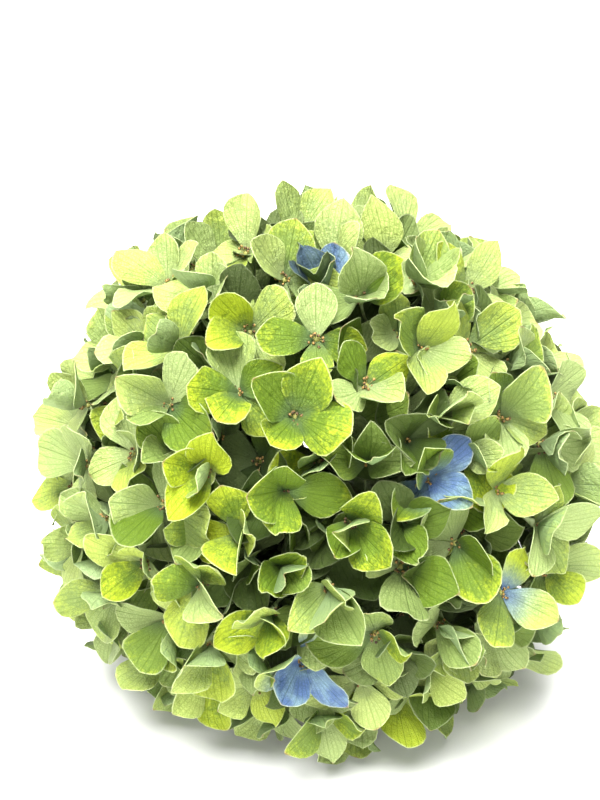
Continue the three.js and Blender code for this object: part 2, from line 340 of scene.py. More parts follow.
@dataclass
class Arrangement:
    """The turn and the rise of every sepal, chosen so that few of them cross their neighbours."""

    head: FlowerHead
    length: float = 19.2 * MM
    width: float = 12.6 * MM
    rise: float = 23
    rise_spread: float = 18
    front_rise: float = 16
    upright_rise: float = 26
    upright_above: float = 0.6
    sepal_reach: float = 0.95
    claw_reach: float = 0.12
    neighbour_reach: float = 1.9
    sector_cosine: float = 0.80
    step_cost: float = 0.04
    passes: int = 2
    steps: tuple[float, ...] = (0, -11, 11, -22, 22, 33)
    outline: tuple[tuple[float, float], ...] = (
        (1.0, 0.0),
        (0.85, 0.27),
        (0.85, -0.27),
        (0.6, 0.45),
        (0.6, -0.45),
        (0.6, 0.0),
    )

    def __post_init__(self) -> None:
        """Gives every sepal the rise it would like, then lets it dodge its neighbours."""
        florets = self.head.florets
        self.centres = np.array([floret.centre for floret in florets])
        self.places = np.array([floret.place for floret in florets])
        self.reaches = np.array([self.sepal_reach * self.length * f.layer.size for f in florets])
        self.turns = np.full((len(florets), 5), math.inf)
        self.rises = np.zeros((len(florets), 5))
        for floret in florets:
            for order in range(floret.sepals):
                self.turns[floret.number, order] = self._turn(floret, order)
                self.rises[floret.number, order] = self._wished_rise(floret, order)
        gaps = np.linalg.norm(self.centres[:, None] - self.centres, axis=2)
        limit = self.neighbour_reach * self.length
        self.near = [np.flatnonzero((row > 0) & (row < limit)) for row in gaps]
        wished = self.rises.copy()
        for _ in range(self.passes):
            for floret in florets:
                for order in range(floret.sepals):
                    here = (floret.number, order)
                    self.rises[here] = self._free_rise(floret, order, wished[here])

    def _turn(self, floret: Floret, order: int) -> float:
        """The direction of a sepal round its floret, in radians."""
        spread = 0.3 * vary(floret.number, 5) + 0.12 * vary(floret.key(order), 10)
        return math.pi / 4 + spread + order * 2 * math.pi / floret.sepals

    def _wished_rise(self, floret: Floret, order: int) -> float:
        """The rise that a sepal would have with no neighbours, in radians."""
        key = floret.key(order)
        upright = self.upright_rise if vary(key, 8) > self.upright_above else 0
        frontness = self.head.globe.frontness(floret.centre)
        closed = self.front_rise * smooth_step(frontness, 0.86, 1.0)
        rise = self.rise + self.rise_spread * vary(key, 7) + upright + floret.layer.upright
        return math.radians(rise + closed)

    def _points(self, floret: Floret, order: int, rises: np.ndarray) -> np.ndarray:
        """Points round a sepal for each of some rises: rises, then points, then x, y and z."""
        length, width = self.length * floret.layer.size, self.width * floret.layer.size
        along, across = np.array(self.outline).T
        turn = self.turns[floret.number, order]
        forward = length * along * np.cos(rises)[:, None]
        upward = length * along * np.sin(rises)[:, None]
        sideways = np.broadcast_to(width * across, forward.shape)
        x = forward * math.cos(turn) - sideways * math.sin(turn)
        y = forward * math.sin(turn) + sideways * math.cos(turn)
        return floret.centre + np.stack([x, y, upward], axis=-1) @ floret.place.T

    def _free_rise(self, floret: Floret, order: int, wished: float) -> float:
        """The rise near the wished one at which a sepal crosses its neighbours the least.

        Args:
            floret: The sepal's floret.
            order: Which of its sepals.
            wished: The rise that it would like, in radians.

        Returns:
            The chosen rise in radians.
        """
        rises = wished + np.radians(self.steps)
        near = self.near[floret.number]
        offsets = self._points(floret, order, rises)[:, :, None, :] - self.centres[near]
        own = np.einsum("cpnk,nkl->cpnl", offsets, self.places[near])
        reach = np.hypot(own[..., 0], own[..., 1])
        angle = np.arctan2(own[..., 1], own[..., 0])
        turned = np.cos(angle[..., None] - np.nan_to_num(self.turns[near], posinf=0.0))
        turned = np.where(np.isinf(self.turns[near]), -2.0, turned)
        closest = turned.argmax(axis=-1)
        slopes = np.tan(self.rises[near[None, None, :], closest])
        covered = (reach < self.reaches[near]) & (reach > self.claw_reach * self.length)
        covered &= turned.max(axis=-1) > self.sector_cosine
        height = np.where(covered, own[..., 2] - reach * slopes, 0.0)
        over = np.maximum(height, 0).sum(axis=1)
        under = np.maximum(-height, 0).sum(axis=1)
        crossing = np.minimum(over, under).sum(axis=1) / MM
        cost = crossing + self.step_cost * np.abs(self.steps)
        return float(rises[int(np.argmin(cost))])


# ---- Meshes ----


def linked(name: str, data: ID) -> Object:
    """Puts a mesh, a light or a camera into the scene."""
    made = bpy.data.objects.new(name, data)
    bpy.context.scene.collection.objects.link(made)
    return made


def only(kind: type, geometry: list) -> list:
    """The vertices, the edges or the faces among some parts of a bmesh."""
    return [part for part in geometry if isinstance(part, kind)]


def to_object(name: str, bm: BMesh, *finishes: Material) -> Object:
    """Turns a bmesh into an object at the origin.

    Args:
        name: The piece's name.
        bm: The mesh, which is freed.
        finishes: Its materials, in the order of its faces' material numbers.

    Returns:
        The new object, linked to the scene.
    """
    mesh = bpy.data.meshes.new(name)
    bm.to_mesh(mesh)
    bm.free()
    for finish in finishes:
        mesh.materials.append(finish)
    return linked(name, mesh)


def smooth_faces(bm: BMesh) -> None:
    """Shades every face of a bmesh smoothly."""
    for face in bm.faces:
        face.smooth = True


def ring_frames(points: list[np.ndarray], radii: list[float]) -> list[Matrix]:
    """The frame of each ring of a stalk.

    Args:
        points: The middle of each ring.
        radii: The radius of each ring.

    Returns:
        One matrix a ring: x and y across the stalk, at the length of its radius, and z along it.
    """
    sideways = Vector((1, 0, 0))
    frames = []
    for i, (point, radius) in enumerate(zip(points, radii)):
        ahead = points[min(i + 1, len(points) - 1)]
        behind = points[max(i - 1, 0)]
        along = Vector(ahead - behind).normalized()
        if abs(along.dot(sideways)) > 0.97:
            sideways = Vector((0, 0, 1))
        right = (sideways - along * sideways.dot(along)).normalized()
        sideways = right
        up = along.cross(right)
        columns = (right * radius, up * radius, along * radius, Vector(point))
        matrix = Matrix([[column[row] for column in columns] for row in range(3)])
        frames.append(matrix.to_4x4())
    return frames


def extruded(bm: BMesh, face: BMFace) -> tuple[list[BMVert], BMFace]:
    """Extrudes one face and returns the vertices and the face at the new end."""
    region = [face, *face.edges, *face.verts]
    made = bmesh.ops.extrude_face_region(bm, geom=region)["geom"]
    end = only(BMFace, made)[0]
    return list(end.verts), end


def add_stalk(bm: BMesh, points: list[np.ndarray], radii: list[float], sides: int) -> list[BMVert]:
    """Adds a closed round stalk through some points.

    Args:
        bm: The bmesh to add it to.
        points: The middle of each ring.
        radii: The radius of each ring.
        sides: How many sides it has.

    Returns:
        Its vertices.
    """
    frames = ring_frames(points, radii)
    made = bmesh.ops.create_circle(bm, cap_ends=True, segments=sides, radius=1, matrix=frames[0])
    ring = made["verts"]
    verts = list(ring)
    face = ring[0].link_faces[0]
    for last, this in zip(frames, frames[1:]):
        ring, face = extruded(bm, face)
        bmesh.ops.transform(bm, matrix=this @ last.inverted(), verts=ring)
        verts += ring
    faces = list({f for v in verts for f in v.link_faces})
    bmesh.ops.recalc_face_normals(bm, faces=faces)
    return verts


def bent_line(start: np.ndarray, bend: np.ndarray, end: np.ndarray, count: int) -> list[np.ndarray]:
    """Points along a smooth bend from start to end that leans towards the bend point."""
    shares = np.linspace(0, 1, count)
    return [(1 - t) ** 2 * start + 2 * t * (1 - t) * bend + t * t * end for t in shares]


# ---- Finishes ----

Colour = tuple[float, float, float]


class Blend(Enum):
    """How one colour goes over another."""

    MIX = "MIX"
    MULTIPLY = "MULTIPLY"


class NodeSheet:
    """A material's nodes, with short ways to add the ones that these finishes use."""

    def __init__(self, name: str) -> None:
        """Starts an empty material with the given name."""
        self.material = bpy.data.materials.new(name)
        self.material.use_nodes = True
        self.tree = self.material.node_tree
        self.tree.nodes.clear()

    def add(self, kind: str, **values: object) -> Node:
        """Adds a node.

        Args:
            kind: The node's type name.
            values: Properties of the node to set.

        Returns:
            The node.
        """
        node = self.tree.nodes.new(kind)
        for key, value in values.items():
            setattr(node, key, value)
        return node

    def link(self, source: NodeSocket, target: NodeSocket) -> None:
        """Links two sockets."""
        self.tree.links.new(source, target)

    def feed(self, socket: NodeSocket, value: object) -> None:
        """Gives a socket a number or colour, or links it to another socket."""
        if isinstance(value, NodeSocket):
            self.link(value, socket)
        elif isinstance(value, tuple) and len(value) == 3 and len(socket.default_value) == 4:
            socket.default_value = (*value, 1)
        else:
            socket.default_value = value

    def attribute(self, name: str) -> list[NodeSocket]:
        """The three numbers of a mesh attribute."""
        source = self.add("ShaderNodeAttribute", attribute_name=name)
        return self.split(source.outputs["Vector"])

    def place(self) -> NodeSocket:
        """Object coordinates."""
        return self.add("ShaderNodeTexCoord").outputs["Object"]

    def math(self, operation: str, *values: object) -> NodeSocket:
        """A math node over numbers or sockets."""
        node = self.add("ShaderNodeMath", operation=operation)
        for socket, value in zip(node.inputs, values):
            self.feed(socket, value)
        return node.outputs[0]

    def times(self, value: object, factor: object) -> NodeSocket:
        """One value times another."""
        return self.math("MULTIPLY", value, factor)

    def plus(self, value: object, other: object) -> NodeSocket:
        """One value plus another."""
        return self.math("ADD", value, other)

    def stretched(self, vector: NodeSocket, **inputs: tuple[float, float, float]) -> NodeSocket:
        """Coordinates moved or scaled, as a mapping node's inputs say."""
        node = self.add("ShaderNodeMapping")
        for name, value in inputs.items():
            node.inputs[name].default_value = value
        self.link(vector, node.inputs["Vector"])
        return node.outputs[0]

    def split(self, vector: NodeSocket) -> list[NodeSocket]:
        """The x, y and z of a vector."""
        node = self.add("ShaderNodeSeparateXYZ")
        self.link(vector, node.inputs[0])
        return list(node.outputs)

    def span(
        self,
        value: NodeSocket,
        low: float,
        high: float,
        to_low: float = 0.0,
        to_high: float = 1.0,
    ) -> NodeSocket:
        """Maps a span of a value smoothly onto another span."""
        node = self.add("ShaderNodeMapRange", interpolation_type="SMOOTHSTEP")
        self.link(value, node.inputs["Value"])
        for name, number in (
            ("From Min", low),
            ("From Max", high),
            ("To Min", to_low),
            ("To Max", to_high),
        ):
            node.inputs[name].default_value = number
        return node.outputs[0]

    def colour(self, amount: object, under: object, over: object, blend: Blend = Blend.MIX) -> NodeSocket:
        """Lays one colour over another by an amount."""
        node = self.add("ShaderNodeMix", data_type="RGBA", blend_type=blend.value)
        self.feed(node.inputs[0], amount)
        self.feed(node.inputs[6], under)
        self.feed(node.inputs[7], over)
        return node.outputs[2]

    def grain(self, vector: object, scale: float, detail: float = 2.0) -> NodeSocket:
        """A noise value from 0 to 1 at a scale."""
        node = self.add("ShaderNodeTexNoise")
        self.link(vector, node.inputs["Vector"])
        node.inputs["Scale"].default_value = scale
        node.inputs["Detail"].default_value = detail
        return node.outputs["Fac"]

    def bump(self, height: NodeSocket, strength: float, depth: float) -> object:
        """A bumped normal from a height."""
        node = self.add("ShaderNodeBump")
        node.inputs["Strength"].default_value = strength
        node.inputs["Distance"].default_value = depth
        self.link(height, node.inputs["Height"])
        return node.outputs["Normal"]

    def surface(self, colour: object, roughness: float, normal: object = None) -> Node:
        """Adds the principled surface and returns its node."""
        node = self.add("ShaderNodeBsdfPrincipled")
        self.feed(node.inputs["Base Color"], colour)
        node.inputs["Roughness"].default_value = roughness
        if normal is not None:
            self.link(normal, node.inputs["Normal"])
        return node

    def coat(self, colour: object, roughness: float, normal: object = None) -> Material:
        """Finishes the material with a principled surface alone."""
        return self.finish(self.surface(colour, roughness, normal).outputs[0])

    def finish(self, shader: NodeSocket) -> Material:
        """Sends a shader to the material's output."""
        output = self.add("ShaderNodeOutputMaterial")
        self.link(shader, output.inputs["Surface"])
        return self.material


@dataclass(frozen=True)
class SepalFinish:
    """Green sepals: yellower towards their edges, some of them blue, with painted shade that turns their
    bases grey-green and darkens the deeper layers, a painted highlight along their edges and a painted
    haze of light that pales them round the sides of the globe.
    """

    mid_green: Colour = (0.155, 0.245, 0.022)
    lime: Colour = (0.46, 0.55, 0.028)
    # Painted haze of light, which pales the sepals round the sides of the globe.
    painted_haze_green: Colour = (0.53, 0.63, 0.265)
    # Painted shade at the sepals' bases.
    base_shade_green: Colour = (0.090, 0.150, 0.075)
    # Painted shade on the sepals of the deeper layers.
    deep_shade_green: Colour = (0.030, 0.050, 0.014)
    # Painted highlight along the sepals' edges.
    rim: Colour = (0.80, 0.84, 0.46)
    underside: Colour = (0.33, 0.46, 0.24)
    blue: Colour = (0.095, 0.170, 0.42)
    pale_blue: Colour = (0.23, 0.36, 0.52)
    tip_brown: Colour = (0.36, 0.20, 0.08)
    glow: Colour = (0.46, 0.66, 0.10)
    vein: Colour = (0.42, 0.52, 0.36)
    vein_strength: float = 0.66
    vein_net_scale: float = 1250
    # How strongly the painted haze of light pales the sepals round the sides.
    painted_haze_strength: float = 0.68
    roughness: float = 0.55
    sheen: float = 0.22
    glow_share: float = 0.20

    def build(self) -> Material:
        """Makes the material from the sepal's own coordinates and its tint."""
        sheet = NodeSheet("sepal")
        x, y, side = sheet.attribute("leaf")
        ripeness_and_shade, blueness, chance = sheet.attribute("tint")
        place = sheet.place()
        along = sheet.math("MULTIPLY_ADD", x, 0.5, 0.5)
        squares = sheet.math("MULTIPLY_ADD", x, x, sheet.times(y, y))
        radius = sheet.math("SQRT", squares)
        cloud = sheet.grain(place, 210, 3)
        colour = self._green(sheet, along, squares, cloud, ripeness_and_shade)
        # Painted haze of light: sepals round the sides of the globe are paled towards a pale green.
        pale, _, _ = sheet.attribute("pale")
        painted_haze = sheet.span(pale, 0.0, 1.0, 0.0, self.painted_haze_strength)
        colour = sheet.colour(painted_haze, colour, self.painted_haze_green)
        colour = self._blue(sheet, colour, blueness, along, cloud)
        veins = self._veins(sheet, y, along)
        veined = sheet.times(veins, self.vein_strength)
        colour = sheet.colour(veined, colour, self.vein, Blend.MULTIPLY)
        # Painted highlight: a pale band along each sepal's edge, strongest towards its tip.
        edge = sheet.span(radius, 0.94, 1.0, 0.0, 0.55)
        rim = sheet.times(edge, sheet.span(sheet.plus(along, cloud), 0.8, 1.3))
        colour = sheet.colour(rim, colour, self.rim)
        tip = sheet.times(sheet.span(x, 0.90, 1.0), sheet.span(chance, 0.5, 0.7))
        colour = sheet.colour(sheet.times(tip, 0.8), colour, self.tip_brown)
        colour = sheet.colour(sheet.times(side, 0.55), colour, self.underside)
        # Painted shade: the sepals of the deeper layers, whose ripeness numbers run low, are darkened to
        # deep green.
        painted_deep_shade = sheet.span(ripeness_and_shade, -1.2, -0.4, 0.8, 0.0)
        colour = sheet.colour(painted_deep_shade, colour, self.deep_shade_green)
        dents = sheet.times(veins, 0.3)
        normal = sheet.bump(sheet.math("SUBTRACT", sheet.grain(place, 420, 2), dents), 0.8, 1.3 * MM)
        front = sheet.surface(colour, self.roughness, normal)
        front.inputs["Specular IOR Level"].default_value = self.sheen
        through = sheet.add("ShaderNodeBsdfTranslucent")
        sheet.link(sheet.colour(0.5, colour, self.glow), through.inputs["Color"])
        mix = sheet.add("ShaderNodeMixShader")
        mix.inputs[0].default_value = self.glow_share
        sheet.link(front.outputs[0], mix.inputs[1])
        sheet.link(through.outputs[0], mix.inputs[2])
        return sheet.finish(mix.outputs[0])

    def _green(
        self,
        sheet: NodeSheet,
        along: NodeSocket,
        squares: NodeSocket,
        cloud: NodeSocket,
        ripeness_and_shade: NodeSocket,
    ) -> NodeSocket:
        """The greens, which ripen to lime from the edges inwards, with painted shade that darkens each
        sepal to grey-green towards its base.
        """
        outwards = sheet.math("MULTIPLY_ADD", along, 0.45, sheet.times(squares, 0.30))
        speckle = sheet.math("MULTIPLY_ADD", sheet.grain(sheet.place(), 1100, 3), 1.1, -0.55)
        mottle = sheet.plus(cloud, speckle)
        ripeness = sheet.plus(sheet.plus(mottle, outwards), ripeness_and_shade)
        colour = sheet.colour(sheet.span(ripeness, 0.62, 1.35), self.mid_green, self.lime)
        # Painted shade: each sepal is darkened to grey-green towards its base.
        shade = sheet.math("MULTIPLY_ADD", cloud, 0.25, along)
        painted_base_shade = sheet.span(shade, 0.14, 0.62, 0.9, 0.0)
        return sheet.colour(painted_base_shade, colour, self.base_shade_green)

    def _blue(
        self,
        sheet: NodeSheet,
        colour: NodeSocket,
        blueness: NodeSocket,
        along: NodeSocket,
        cloud: NodeSocket,
    ) -> NodeSocket:
        """Turns a late floret blue, its bases more than its tips."""
        blue = sheet.colour(sheet.span(cloud, 0.35, 0.7), self.blue, self.pale_blue)
        reach = sheet.math("SUBTRACT", sheet.times(blueness, 2.0), along)
        amount = sheet.span(reach, -0.1, 0.7)
        amount = sheet.times(amount, sheet.span(blueness, 0.02, 0.3, 0.0, 0.92))
        return sheet.colour(amount, colour, blue)

    def _veins(self, sheet: NodeSheet, y: NodeSocket, along: NodeSocket) -> NodeSocket:
        """The midrib, the veins that fan out from the base and the fine net between, 0 to 1."""
        midrib = sheet.span(sheet.math("ABSOLUTE", y), 0.0, 0.05, 1.0, 0.0)
        fan = sheet.math("DIVIDE", y, sheet.plus(along, 0.30))
        wave = sheet.math("COSINE", sheet.times(fan, 26.0))
        fans = sheet.span(wave, 0.62, 1.0, 0.0, 0.75)
        net = sheet.add("ShaderNodeTexVoronoi", feature="DISTANCE_TO_EDGE")
        sheet.link(sheet.place(), net.inputs["Vector"])
        net.inputs["Scale"].default_value = self.vein_net_scale
        nets = sheet.span(net.outputs["Distance"], 0.0, 0.15, 0.55, 0.0)
        return sheet.math("MAXIMUM", midrib, sheet.math("MAXIMUM", fans, nets))


@dataclass(frozen=True)
class CentreFinish:
    """The tiny true flowers: an olive bud with tan and brown stamens."""

    bud: Colour = (0.30, 0.30, 0.07)
    anther: Colour = (0.36, 0.22, 0.055)
    dark: Colour = (0.055, 0.032, 0.014)
    roughness: float = 0.6

    def build(self) -> Material:
        """Makes the material, with its tone from the piece's tone attribute."""
        sheet = NodeSheet("floret centre")
        tone, _, _ = sheet.attribute("tone")
        speckle = sheet.grain(sheet.place(), 1400, 2)
        anther = sheet.colour(sheet.span(speckle, 0.4, 0.62), self.dark, self.anther)
        colour = sheet.colour(tone, self.bud, anther)
        normal = sheet.bump(speckle, 0.5, 0.2 * MM)
        return sheet.coat(colour, self.roughness, normal)


@dataclass(frozen=True)
class StalkFinish:
    """Pale green pedicels, branches and rays, with a faint purple flush."""

    green: Colour = (0.22, 0.30, 0.10)
    pale: Colour = (0.36, 0.43, 0.20)
    flush: Colour = (0.20, 0.13, 0.10)
    roughness: float = 0.5

    def build(self) -> Material:
        """Makes the material."""
        sheet = NodeSheet("green stalk")
        place = sheet.place()
        streaks = sheet.grain(sheet.stretched(place, Scale=(3, 1, 1)), 260, 3)
        colour = sheet.colour(sheet.span(streaks, 0.35, 0.7), self.green, self.pale)
        flushed = sheet.span(sheet.grain(place, 60, 2), 0.55, 0.8, 0.0, 0.45)
        colour = sheet.colour(flushed, colour, self.flush)
        normal = sheet.bump(streaks, 0.3, 0.3 * MM)
        return sheet.coat(colour, self.roughness, normal)


@dataclass(frozen=True)
class BarkFinish:
    """The stem's green bark, browner towards its cut end, with pale and dark pores."""

    green: Colour = (0.105, 0.150, 0.042)
    brown: Colour = (0.120, 0.080, 0.038)
    pale_pore: Colour = (0.27, 0.22, 0.13)
    dark_pore: Colour = (0.040, 0.028, 0.015)
    roughness: float = 0.58

    def build(self, front_y: float, cut_y: float) -> Material:
        """Makes the material.

        Args:
            front_y: Where the stem leaves the flower head.
            cut_y: Where it is cut.

        Returns:
            The material.
        """
        sheet = NodeSheet("stem bark")
        place = sheet.place()
        _, y, _ = sheet.split(place)
        cloud = sheet.grain(place, 45, 4)
        towards = sheet.span(y, front_y, cut_y)
        age = sheet.plus(towards, sheet.math("MULTIPLY_ADD", cloud, 0.9, -0.45))
        colour = sheet.colour(sheet.span(age, 0.2, 1.1), self.green, self.brown)
        long = sheet.stretched(place, Scale=(1, 0.28, 1))
        pores = sheet.grain(long, 620, 1)
        colour = sheet.colour(sheet.span(pores, 0.66, 0.74, 0.0, 0.75), colour, self.pale_pore)
        colour = sheet.colour(sheet.span(pores, 0.26, 0.34, 0.6, 0.0), colour, self.dark_pore)
        fibres = sheet.grain(long, 1800, 3)
        height = sheet.plus(sheet.span(pores, 0.6, 0.75), sheet.times(fibres, 0.6))
        normal = sheet.bump(height, 0.55, 0.35 * MM)
        return sheet.coat(colour, self.roughness, normal)


@dataclass(frozen=True)
class CutFinish:
    """The stem's cut face: white pith, a ring of pale wood and a green skin."""

    pith: Colour = (0.46, 0.44, 0.34)
    wood: Colour = (0.28, 0.28, 0.14)
    skin: Colour = (0.10, 0.12, 0.04)
    roughness: float = 0.7

    def build(self, centre: np.ndarray) -> Material:
        """Makes the material round the middle of the cut."""
        sheet = NodeSheet("stem cut")
        middle = sheet.stretched(sheet.place(), Location=tuple(-centre))
        length = sheet.add("ShaderNodeVectorMath", operation="LENGTH")
        sheet.link(middle, length.inputs[0])
        cells = sheet.grain(middle, 2400, 2)
        distance = sheet.math("MULTIPLY_ADD", cells, 0.5 * MM, length.outputs["Value"])
        colour = sheet.colour(sheet.span(distance, 1.5 * MM, 2.3 * MM), self.pith, self.wood)
        colour = sheet.colour(sheet.span(distance, 3.8 * MM, 4.5 * MM), colour, self.skin)
        normal = sheet.bump(cells, 0.6, 0.2 * MM)
        return sheet.coat(colour, self.roughness, normal)


@dataclass(frozen=True)
class TableFinish:
    """A plain white table."""

    white: Colour = (0.86, 0.86, 0.85)
    roughness: float = 0.8

    def build(self) -> Material:
        """Makes the material."""
        sheet = NodeSheet("table")
        return sheet.coat(self.white, self.roughness)


# ---- Sepals ----


@dataclass(frozen=True)
class SepalTraits:
    """The size and bend of one sepal, in metres and radians."""

    length: float
    width: float
    turn: float
    rise: float
    curl: float
    cup: float
    ripple: float
    phase: float
    roll: float
    point: float
    claw: float
    fold: float


@dataclass
class SepalSheet:
    """A flat round sheet of a few dozen faces with two sides, which every sepal is bent from."""

    segments: int = 6
    thickness: float = 0.36 * MM
    slope_share: float = 0.95  # slopes are taken inside the rim, as the foot has no width
    slope_step: float = 0.02

    def __post_init__(self) -> None:
        """Makes the sheet and notes its points and corners."""
        bm = bmesh.new()
        bmesh.ops.create_grid(bm, x_segments=self.segments, y_segments=self.segments, size=1)
        for vert in bm.verts:
            u, v = vert.co.x, vert.co.y
            vert.co.x = u * math.sqrt(1 - v * v / 2)
            vert.co.y = v * math.sqrt(1 - u * u / 2)
        top_rim = [edge for edge in bm.edges if edge.is_boundary]
        made = bmesh.ops.duplicate(bm, geom=bm.faces[:] + bm.edges[:] + bm.verts[:])["geom"]
        lower_rim = [edge for edge in only(BMEdge, made) if edge.is_boundary]
        bmesh.ops.translate(bm, verts=only(BMVert, made), vec=(0, 0, -0.1))
        bmesh.ops.reverse_faces(bm, faces=only(BMFace, made))
        bmesh.ops.bridge_loops(bm, edges=top_rim + lower_rim)
        bmesh.ops.recalc_face_normals(bm, faces=bm.faces[:])
        smooth_faces(bm)
        for edge in top_rim + lower_rim:
            edge.smooth = False
        self.mesh = bpy.data.meshes.new("sepal sheet")
        bm.to_mesh(self.mesh)
        bm.free()
        points = np.array([v.co for v in self.mesh.vertices])
        self.sides = (points[:, 2] < -0.05).astype(float)
        self.disc = points[:, :2]
        self.corners = np.array([loop.vertex_index for loop in self.mesh.loops])
        under = []
        for polygon in self.mesh.polygons:
            is_under = all(self.sides[i] > 0.5 for i in polygon.vertices)
            under += [float(is_under)] * len(polygon.vertices)
        self.corner_sides = np.array(under)

    def bent(self, traits: SepalTraits) -> np.ndarray:
        """The sheet's points, bent to one sepal: x along it, y across it and z up."""
        x, y = self.disc[:, 0], self.disc[:, 1]
        here = self._surface(x, y, traits)
        inner_x, inner_y = self.slope_share * x, self.slope_share * y
        inner = self._surface(inner_x, inner_y, traits)
        slope_x = self._surface(inner_x + self.slope_step, inner_y, traits) - inner
        slope_y = self._surface(inner_x, inner_y + self.slope_step, traits) - inner
        normals = np.cross(slope_x, slope_y)
        normals /= np.linalg.norm(normals, axis=1, keepdims=True)
        rim = (x * x + y * y) ** 3
        depth = self.thickness * (1 - 0.45 * rim) * self.sides
        return here - normals * depth[:, None]

    @staticmethod
    def _surface(x: np.ndarray, y: np.ndarray, traits: SepalTraits) -> np.ndarray:
        """The upper side of a sepal over the round sheet."""
        share = np.clip((x + 1) / 2, 0, None)
        radius = np.sqrt(x * x + y * y)
        angle = np.arctan2(y, x)
        along = traits.length * share
        ahead = np.clip(1 - x, 0, None) ** (traits.point - 0.5)
        behind = np.clip(1 + x, 0, None) ** (traits.claw - 0.5)
        across = y * traits.width / 2 * ahead * behind
        reach = along / traits.length
        height = traits.cup * across * across / traits.width + traits.fold * np.abs(across)
        height = height + traits.curl * traits.length * (reach**2.4) * 0.5
        waves = np.sin(3 * angle + traits.phase) + 0.6 * np.sin(5 * angle + 2 * traits.phase)
        height = height + traits.ripple * radius**3 * waves * np.clip(share * 1.6, 0, 1)
        cosine, sine = math.cos(traits.rise), math.sin(traits.rise)
        lifted = along * sine + height * cosine
        forward = along * cosine - height * sine
        tilt = traits.roll * (0.5 + reach)
        rolled_y = across * np.cos(tilt) - height * np.sin(tilt)
        rolled_z = lifted + across * np.sin(tilt)
        return np.column_stack([forward, rolled_y, rolled_z])


@dataclass
class Cyme:
    """The sepals of one cyme's florets, joined in one piece."""

    head: FlowerHead
    arrangement: Arrangement
    sheet: SepalSheet
    number: int
    start: float = -0.8 * MM
    size_spread: float = 0.16

    def traits(self, floret: Floret, order: int) -> SepalTraits:
        """The traits of one sepal of a floret.

        Args:
            floret: The floret.
            order: Which of its sepals.

        Returns:
            The sepal's traits.
        """
        key = floret.key(order)
        size = floret.layer.size * (1 + self.size_spread * vary(key, 6))
        return SepalTraits(
            length=self.arrangement.length * size,
            width=self.arrangement.width * size * (1 + 0.12 * vary(key, 11)),
            turn=float(self.arrangement.turns[floret.number, order]),
            rise=float(self.arrangement.rises[floret.number, order]),
            curl=-0.06 + 0.50 * vary(key, 12),
            cup=0.35 + 0.85 * vary(key, 13),
            ripple=(0.85 + 0.5 * vary(key, 14)) * MM,
            phase=math.pi * vary(key, 15),
            roll=math.radians(6 + 7 * vary(key, 16)),
            point=0.92 + 0.18 * vary(key, 17),
            claw=1.42 + 0.22 * vary(key, 18),
            fold=max(0.0, 0.9 * vary(key, 19) - 0.35),
        )

    def build(self, finish: Material) -> Object:
        """Makes the piece and dresses it.

        Args:
            finish: The sepals' material.

        Returns:
            The piece.
        """
        bm = bmesh.new()
        points, tints, painted_haze_shares = [], [], []
        for floret in self.head.of_cyme(self.number):
            for order in range(floret.sepals):
                bm.from_mesh(self.sheet.mesh)
                points.append(self._placed(floret, order))
                tints.append(self._tint(floret, order))
                painted_haze_shares.append(self._painted_haze_share(floret, order))
        piece = to_object(f"cyme_{self.number + 1:02d}_sepals", bm, finish)
        mesh = piece.data
        placed = np.concatenate(points)
        if not np.isfinite(placed).all():
            raise ValueError(f"{piece.name} has points that aren't numbers")
        mesh.vertices.foreach_set("co", placed.ravel())
        leaf = np.column_stack([self.sheet.disc, self.sheet.sides])
        for name, kind, key, values in (
            ("leaf", "FLOAT_VECTOR", "vector", np.tile(leaf, (len(points), 1))),
            ("tint", "FLOAT_VECTOR", "vector", np.repeat(tints, len(leaf), axis=0)),
            ("pale", "FLOAT", "value", np.repeat(painted_haze_shares, len(leaf))),
        ):
            mesh.attributes.new(name, kind, "POINT").data.foreach_set(key, values.ravel())
        self._unwrap(mesh, len(points))
        mesh.update()
        return piece

    def _placed(self, floret: Floret, order: int) -> np.ndarray:
        """The points of one sepal in the flower's frame."""
        traits = self.traits(floret, order)
        own = self.sheet.bent(traits)
        own[:, 0] += self.start
        cosine, sine = math.cos(traits.turn), math.sin(traits.turn)
        turned = np.column_stack([
            own[:, 0] * cosine - own[:, 1] * sine,
            own[:, 0] * sine + own[:, 1] * cosine,
            own[:, 2],
        ])
        points = floret.centre + turned @ floret.place.T
        return self.head.globe.press(points)

    def _tint(self, floret: Floret, order: int) -> tuple[float, float, float]:
        """How ripe a sepal is, a number that runs low on the inner and deep layers to paint shade on
        them, how blue it is, and a chance number of its own.
        """
        key = floret.key(order)
        ripeness_and_shade = floret.layer.ripeness_and_shade + 0.42 * vary(floret.number, 20) + 0.34 * vary(key, 21)
        blue = floret.blue * (0.65 + 0.5 * vary(key, 22))
        return ripeness_and_shade, max(blue, 0.0), 0.5 + 0.5 * vary(key, 23)

    def _painted_haze_share(self, floret: Floret, order: int) -> float:
        """How much a painted haze of light pales a sepal, from 0 in the middle of the front to about 1
        round the sides.
        """
        frontness = max(self.head.globe.frontness(floret.centre), 0.0)
        return 1 - frontness**2 + 0.58 * vary(floret.key(order), 24)

    def _unwrap(self, mesh: Mesh, count: int) -> None:
        """Gives each side of each sepal its own square of the piece's map."""
        columns = math.ceil(math.sqrt(2 * count))
        corners = len(self.sheet.corners)
        tile = np.repeat(np.arange(count) * 2, corners) + np.tile(self.sheet.corner_sides, count)
        inside = np.tile(0.5 + 0.47 * self.sheet.disc[self.sheet.corners], (count, 1))
        column, row = tile % columns, tile // columns
        uv = (inside + np.column_stack([column, row])) / columns
        layer = mesh.uv_layers.new(name="OFBake")
        layer.data.foreach_set("uv", uv.ravel())


# ---- Floret centres ----


